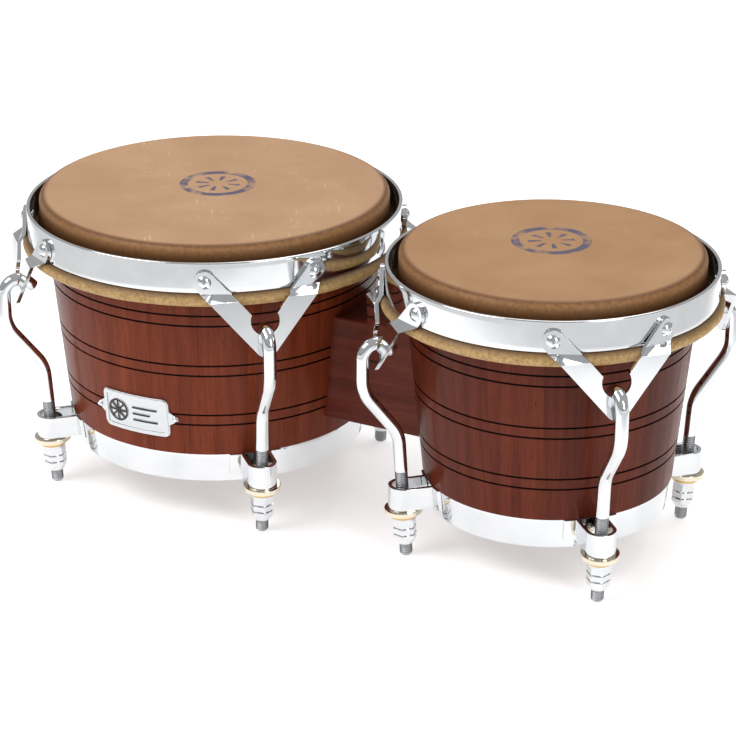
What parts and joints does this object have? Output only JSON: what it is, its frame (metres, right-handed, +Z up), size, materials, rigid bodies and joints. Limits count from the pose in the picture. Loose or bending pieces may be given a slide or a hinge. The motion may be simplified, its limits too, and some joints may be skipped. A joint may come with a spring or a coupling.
{
  "type": "bongo drums",
  "caption": "Pair of tapered wooden hand drums joined by a wooden block, each with a rawhide head pulled down by a steel rim, hooks and tuning nuts.",
  "frame": {"origin": "centre of the bounding box in plan, at the lowest rod end", "axes": "+X from the large drum to the small one, +Y to the back, +Z up along both drums' axes"},
  "size_m": [0.4576, 0.2424, 0.1888],
  "materials": {
    "shell_wood": "gloss lacquer",
    "block_wood": "satin lacquer",
    "rawhide": "dry, slightly glossy",
    "rawhide_side": "rough",
    "hoop_steel": "plain",
    "chrome": "polished",
    "zinc_steel": "zinc plated",
    "brass": "polished",
    "badge_metal": "satin, dark ground"
  },
  "bodies": {
    "drums": {"center_block": "block_wood", "block_bolts": "zinc_steel", "block_washers": "zinc_steel", "block_inserts": "zinc_steel", "hembra_badge": "badge_metal", "hembra_badge_pins": "badge_metal", "hembra_shell": "shell_wood", "hembra_head_membrane": "rawhide", "hembra_bottom_ring": "chrome", "hembra_pocket_floors": "chrome", "hembra_nut_washers": "brass", "hembra_lug_pocket_1": "chrome", "hembra_lug_pocket_2": "chrome", "hembra_lug_pocket_3": "chrome", "hembra_lug_pocket_4": "chrome", "macho_shell": "shell_wood", "macho_head_membrane": "rawhide", "macho_bottom_ring": "chrome", "macho_pocket_floors": "chrome", "macho_nut_washers": "brass", "macho_lug_pocket_1": "chrome", "macho_lug_pocket_2": "chrome", "macho_lug_pocket_3": "chrome", "macho_lug_pocket_4": "chrome"},
    "hembra_crown": {"hembra_head_collar": "rawhide_side", "hembra_flesh_hoop": "hoop_steel", "hembra_rim": "chrome", "hembra_rim_rivets": "chrome", "hembra_lug_plate_1": "chrome", "hembra_lug_plate_2": "chrome", "hembra_lug_plate_3": "chrome", "hembra_lug_plate_4": "chrome"},
    "hembra_hook_1_body": {"hembra_hook_1": "chrome"},
    "hembra_nut_1_body": {"hembra_nut_1": "chrome"},
    "hembra_hook_2_body": {"hembra_hook_2": "chrome"},
    "hembra_nut_2_body": {"hembra_nut_2": "chrome"},
    "hembra_hook_3_body": {"hembra_hook_3": "chrome"},
    "hembra_nut_3_body": {"hembra_nut_3": "chrome"},
    "hembra_hook_4_body": {"hembra_hook_4": "chrome"},
    "hembra_nut_4_body": {"hembra_nut_4": "chrome"},
    "macho_crown": {"macho_head_collar": "rawhide_side", "macho_flesh_hoop": "hoop_steel", "macho_rim": "chrome", "macho_rim_rivets": "chrome", "macho_lug_plate_1": "chrome", "macho_lug_plate_2": "chrome", "macho_lug_plate_3": "chrome", "macho_lug_plate_4": "chrome"},
    "macho_hook_1_body": {"macho_hook_1": "chrome"},
    "macho_nut_1_body": {"macho_nut_1": "chrome"},
    "macho_hook_2_body": {"macho_hook_2": "chrome"},
    "macho_nut_2_body": {"macho_nut_2": "chrome"},
    "macho_hook_3_body": {"macho_hook_3": "chrome"},
    "macho_nut_3_body": {"macho_nut_3": "chrome"},
    "macho_hook_4_body": {"macho_hook_4": "chrome"},
    "macho_nut_4_body": {"macho_nut_4": "chrome"}
  },
  "joints": [
    {"name": "hembra_nut_1_turn", "type": "hinge", "parent": "drums", "child": "hembra_nut_1_body", "pos_m": [-0.18499, -0.07739, 0.01756], "axis": [-0.0444, -0.0444, 0.998], "range_deg": [-1025, 768]},
    {"name": "hembra_hook_1_draw", "type": "slide", "parent": "drums", "child": "hembra_hook_1_body", "axis": [0.0444, 0.0444, -0.998], "range_m": [-0.0041, 0.0031]},
    {"name": "hembra_nut_2_turn", "type": "hinge", "parent": "drums", "child": "hembra_nut_2_body", "pos_m": [-0.03021, -0.07739, 0.01756], "axis": [0.0444, -0.0444, 0.998], "range_deg": [-1025, 768]},
    {"name": "hembra_hook_2_draw", "type": "slide", "parent": "drums", "child": "hembra_hook_2_body", "axis": [-0.0444, 0.0444, -0.998], "range_m": [-0.0041, 0.0031]},
    {"name": "hembra_nut_3_turn", "type": "hinge", "parent": "drums", "child": "hembra_nut_3_body", "pos_m": [-0.03021, 0.07739, 0.01756], "axis": [0.0444, 0.0444, 0.998], "range_deg": [-1025, 768]},
    {"name": "hembra_hook_3_draw", "type": "slide", "parent": "drums", "child": "hembra_hook_3_body", "axis": [-0.0444, -0.0444, -0.998], "range_m": [-0.0041, 0.0031]},
    {"name": "hembra_nut_4_turn", "type": "hinge", "parent": "drums", "child": "hembra_nut_4_body", "pos_m": [-0.18499, 0.07739, 0.01756], "axis": [-0.0444, 0.0444, 0.998], "range_deg": [-1025, 768]},
    {"name": "hembra_hook_4_draw", "type": "slide", "parent": "drums", "child": "hembra_hook_4_body", "axis": [0.0444, -0.0444, -0.998], "range_m": [-0.0041, 0.0031]},
    {"name": "hembra_crown_draw", "type": "slide", "parent": "drums", "child": "hembra_crown", "axis": [0, 0, -1], "range_m": [-0.004, 0.003]},
    {"name": "macho_nut_1_turn", "type": "hinge", "parent": "drums", "child": "macho_nut_1_body", "pos_m": [0.0623, -0.0641, 0.01756], "axis": [-0.0444, -0.0444, 0.998], "range_deg": [-1025, 768]},
    {"name": "macho_hook_1_draw", "type": "slide", "parent": "drums", "child": "macho_hook_1_body", "axis": [0.0444, 0.0444, -0.998], "range_m": [-0.0041, 0.0031]},
    {"name": "macho_nut_2_turn", "type": "hinge", "parent": "drums", "child": "macho_nut_2_body", "pos_m": [0.1905, -0.0641, 0.01756], "axis": [0.0444, -0.0444, 0.998], "range_deg": [-1025, 768]},
    {"name": "macho_hook_2_draw", "type": "slide", "parent": "drums", "child": "macho_hook_2_body", "axis": [-0.0444, 0.0444, -0.998], "range_m": [-0.0041, 0.0031]},
    {"name": "macho_nut_3_turn", "type": "hinge", "parent": "drums", "child": "macho_nut_3_body", "pos_m": [0.1905, 0.0641, 0.01756], "axis": [0.0444, 0.0444, 0.998], "range_deg": [-1025, 768]},
    {"name": "macho_hook_3_draw", "type": "slide", "parent": "drums", "child": "macho_hook_3_body", "axis": [-0.0444, -0.0444, -0.998], "range_m": [-0.0041, 0.0031]},
    {"name": "macho_nut_4_turn", "type": "hinge", "parent": "drums", "child": "macho_nut_4_body", "pos_m": [0.0623, 0.0641, 0.01756], "axis": [-0.0444, 0.0444, 0.998], "range_deg": [-1025, 768]},
    {"name": "macho_hook_4_draw", "type": "slide", "parent": "drums", "child": "macho_hook_4_body", "axis": [0.0444, -0.0444, -0.998], "range_m": [-0.0041, 0.0031]},
    {"name": "macho_crown_draw", "type": "slide", "parent": "drums", "child": "macho_crown", "axis": [0, 0, -1], "range_m": [-0.004, 0.003]}
  ],
  "couplings": [
    {"joint": "hembra_nut_1_turn", "follows": "hembra_crown_draw", "rad_per_m": 4461.5},
    {"joint": "hembra_hook_1_draw", "follows": "hembra_crown_draw", "ratio": 1.002},
    {"joint": "hembra_nut_2_turn", "follows": "hembra_crown_draw", "rad_per_m": 4461.5},
    {"joint": "hembra_hook_2_draw", "follows": "hembra_crown_draw", "ratio": 1.002},
    {"joint": "hembra_nut_3_turn", "follows": "hembra_crown_draw", "rad_per_m": 4461.5},
    {"joint": "hembra_hook_3_draw", "follows": "hembra_crown_draw", "ratio": 1.002},
    {"joint": "hembra_nut_4_turn", "follows": "hembra_crown_draw", "rad_per_m": 4461.5},
    {"joint": "hembra_hook_4_draw", "follows": "hembra_crown_draw", "ratio": 1.002},
    {"joint": "macho_nut_1_turn", "follows": "macho_crown_draw", "rad_per_m": 4461.5},
    {"joint": "macho_hook_1_draw", "follows": "macho_crown_draw", "ratio": 1.002},
    {"joint": "macho_nut_2_turn", "follows": "macho_crown_draw", "rad_per_m": 4461.5},
    {"joint": "macho_hook_2_draw", "follows": "macho_crown_draw", "ratio": 1.002},
    {"joint": "macho_nut_3_turn", "follows": "macho_crown_draw", "rad_per_m": 4461.5},
    {"joint": "macho_hook_3_draw", "follows": "macho_crown_draw", "ratio": 1.002},
    {"joint": "macho_nut_4_turn", "follows": "macho_crown_draw", "rad_per_m": 4461.5},
    {"joint": "macho_hook_4_draw", "follows": "macho_crown_draw", "ratio": 1.002}
  ]
}
